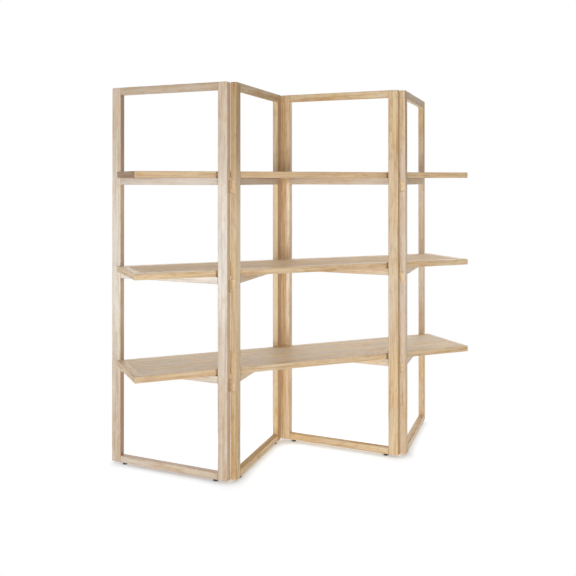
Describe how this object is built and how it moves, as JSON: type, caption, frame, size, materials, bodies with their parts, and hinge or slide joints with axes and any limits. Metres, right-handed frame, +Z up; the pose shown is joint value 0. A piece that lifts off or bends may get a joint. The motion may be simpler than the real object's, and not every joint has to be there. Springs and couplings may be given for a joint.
{
  "type": "folding etagere",
  "caption": "Tall open shelf unit: hinged oak frames that stand in a zigzag like a folding screen, with long flat shelves lying through them on cross rails.",
  "frame": {"origin": "on the floor, in the middle of the footprint", "axes": "+X along the shelves to the right, +Y to the back, +Z up"},
  "size_m": [1.9846, 0.566, 2.032],
  "materials": {
    "frame_wood": "satin",
    "shelf_edge": "satin",
    "shelf_veneer": "satin",
    "hinge_metal": "satin",
    "glide": "matte"
  },
  "bodies": {
    "outer_left_frame": {"outer_left_back_stile": "frame_wood", "outer_left_front_stile": "frame_wood", "outer_left_top_rail": "frame_wood", "outer_left_bottom_rail": "frame_wood", "outer_left_upper_shelf_rail": "frame_wood", "outer_left_middle_shelf_rail": "frame_wood", "outer_left_lower_shelf_rail": "frame_wood", "outer_left_glides": "glide", "left_hinge_outer_leaves": "hinge_metal"},
    "inner_left_frame": {"inner_left_back_stile": "frame_wood", "inner_left_front_stile": "frame_wood", "inner_left_top_rail": "frame_wood", "inner_left_bottom_rail": "frame_wood", "inner_left_upper_shelf_rail": "frame_wood", "inner_left_middle_shelf_rail": "frame_wood", "inner_left_lower_shelf_rail": "frame_wood", "inner_left_glides": "glide", "left_hinge_inner_leaves": "hinge_metal", "left_hinge_pins": "hinge_metal", "middle_hinge_left_leaves": "hinge_metal", "middle_hinge_pins": "hinge_metal"},
    "inner_right_frame": {"inner_right_back_stile": "frame_wood", "inner_right_front_stile": "frame_wood", "inner_right_top_rail": "frame_wood", "inner_right_bottom_rail": "frame_wood", "inner_right_upper_shelf_rail": "frame_wood", "inner_right_middle_shelf_rail": "frame_wood", "inner_right_lower_shelf_rail": "frame_wood", "inner_right_glides": "glide", "middle_hinge_right_leaves": "hinge_metal", "right_hinge_inner_leaves": "hinge_metal", "right_hinge_pins": "hinge_metal"},
    "outer_right_frame": {"outer_right_back_stile": "frame_wood", "outer_right_front_stile": "frame_wood", "outer_right_top_rail": "frame_wood", "outer_right_bottom_rail": "frame_wood", "outer_right_upper_shelf_rail": "frame_wood", "outer_right_middle_shelf_rail": "frame_wood", "outer_right_lower_shelf_rail": "frame_wood", "outer_right_glides": "glide", "right_hinge_outer_leaves": "hinge_metal"},
    "upper_shelf": {"upper_shelf_field": "shelf_veneer", "upper_shelf_front_border": "shelf_edge", "upper_shelf_back_border": "shelf_edge", "upper_shelf_left_border": "shelf_edge", "upper_shelf_right_border": "shelf_edge"},
    "middle_shelf": {"middle_shelf_field": "shelf_veneer", "middle_shelf_front_border": "shelf_edge", "middle_shelf_back_border": "shelf_edge", "middle_shelf_left_border": "shelf_edge", "middle_shelf_right_border": "shelf_edge"},
    "lower_shelf": {"lower_shelf_field": "shelf_veneer", "lower_shelf_front_border": "shelf_edge", "lower_shelf_back_border": "shelf_edge", "lower_shelf_left_border": "shelf_edge", "lower_shelf_right_border": "shelf_edge"}
  },
  "joints": [
    {"name": "middle_fold", "type": "hinge", "parent": "inner_left_frame", "child": "inner_right_frame", "pos_m": [0, 0.26343, 0], "axis": [0, 0, -1], "range_deg": [0, 80]},
    {"name": "left_fold", "type": "hinge", "parent": "inner_left_frame", "child": "outer_left_frame", "pos_m": [-0.49672, -0.26343, 0], "axis": [0, 0, -1], "range_deg": [0, 80]},
    {"name": "right_fold", "type": "hinge", "parent": "inner_right_frame", "child": "outer_right_frame", "pos_m": [0.49672, -0.26343, 0], "axis": [0, 0, 1], "range_deg": [0, 80]},
    {"name": "upper_shelf_turn", "type": "hinge", "parent": "inner_left_frame", "child": "upper_shelf", "pos_m": [0, 0.26343, 0], "axis": [0, 0, -1], "range_deg": [0, 40]},
    {"name": "middle_shelf_turn", "type": "hinge", "parent": "inner_left_frame", "child": "middle_shelf", "pos_m": [0, 0.26343, 0], "axis": [0, 0, -1], "range_deg": [0, 40]},
    {"name": "lower_shelf_turn", "type": "hinge", "parent": "inner_left_frame", "child": "lower_shelf", "pos_m": [0, 0.26343, 0], "axis": [0, 0, -1], "range_deg": [0, 40]}
  ],
  "couplings": [
    {"joint": "left_fold", "follows": "middle_fold", "ratio": 1},
    {"joint": "right_fold", "follows": "middle_fold", "ratio": 1},
    {"joint": "upper_shelf_turn", "follows": "middle_fold", "ratio": 0.5},
    {"joint": "middle_shelf_turn", "follows": "middle_fold", "ratio": 0.5},
    {"joint": "lower_shelf_turn", "follows": "middle_fold", "ratio": 0.5}
  ]
}
